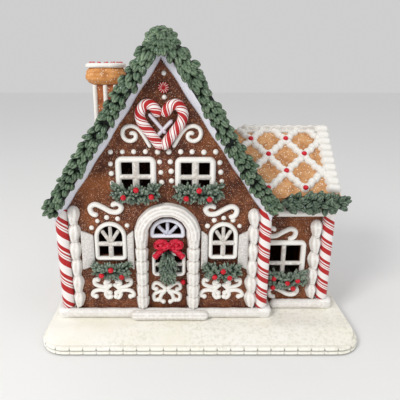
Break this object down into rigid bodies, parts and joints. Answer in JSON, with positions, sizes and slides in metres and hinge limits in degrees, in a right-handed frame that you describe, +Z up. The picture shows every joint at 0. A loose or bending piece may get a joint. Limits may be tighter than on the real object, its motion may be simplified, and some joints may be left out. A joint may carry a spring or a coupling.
{
  "type": "gingerbread house",
  "caption": "Iced gingerbread cottage with a steep leafy gable, a lower side wing, a chimney, candy-striped posts and a snowy base.",
  "frame": {"origin": "middle of the underside of the snowy base", "axes": "+Z up, -Y towards the front with the door, +X to the right, towards the side wing"},
  "size_m": [0.314, 0.2, 0.2964],
  "materials": {
    "gingerbread": "brown gingerbread with fine sugar glitter",
    "biscuit": "golden biscuit with sugar crystals",
    "icing": "satin white piped icing",
    "snow": "cream white with fine sparkle",
    "leaf": "sage green brushed with white frost",
    "candy": "glossy red and white candy stripes",
    "ribbon": "red glitter"
  },
  "bodies": {
    "root": {"base_board": "snow", "base_edge": "snow", "plinth_main": "icing", "plinth_annex": "icing", "door_step": "icing", "main_roof_icing": "icing", "annex_roof_icing": "icing", "chimney_icing": "icing", "rake_fascia": "icing", "rake_back": "icing", "window_upper_left": "icing", "window_upper_right": "icing", "window_lower_left": "icing", "window_lower_right": "icing", "window_annex": "icing", "shutter_outer_left": "icing", "shutter_inner_left": "icing", "shutter_inner_right": "icing", "shutter_outer_right": "icing", "door_arch": "icing", "fanlight": "icing", "door_window": "icing", "heart_sticks": "icing", "stack_left": "icing", "stack_right": "icing", "stack_annex": "icing", "front_wall": "gingerbread", "back_wall": "gingerbread", "left_wall": "gingerbread", "right_wall": "gingerbread", "annex_front_wall": "gingerbread", "annex_back_wall": "gingerbread", "annex_side_wall": "gingerbread", "roof_left": "gingerbread", "roof_right": "gingerbread", "door": "gingerbread", "annex_roof_front": "biscuit", "annex_roof_back": "biscuit", "chimney_shaft": "biscuit", "chimney_cap": "biscuit", "garland_rake_left": "leaf", "garland_rake_right": "leaf", "garland_upper_left": "leaf", "garland_upper_right": "leaf", "garland_lower_left": "leaf", "garland_lower_right": "leaf", "garland_annex": "leaf", "annex_eave_garland": "leaf", "door_swag": "leaf", "door_bow": "ribbon", "cane_left": "candy", "cane_right": "candy", "mint": "candy", "post_front_left": "candy", "post_front_right": "candy", "post_annex_front": "candy", "post_back_left": "candy", "post_back_right": "candy", "post_annex_back": "candy"}
  },
  "joints": []
}
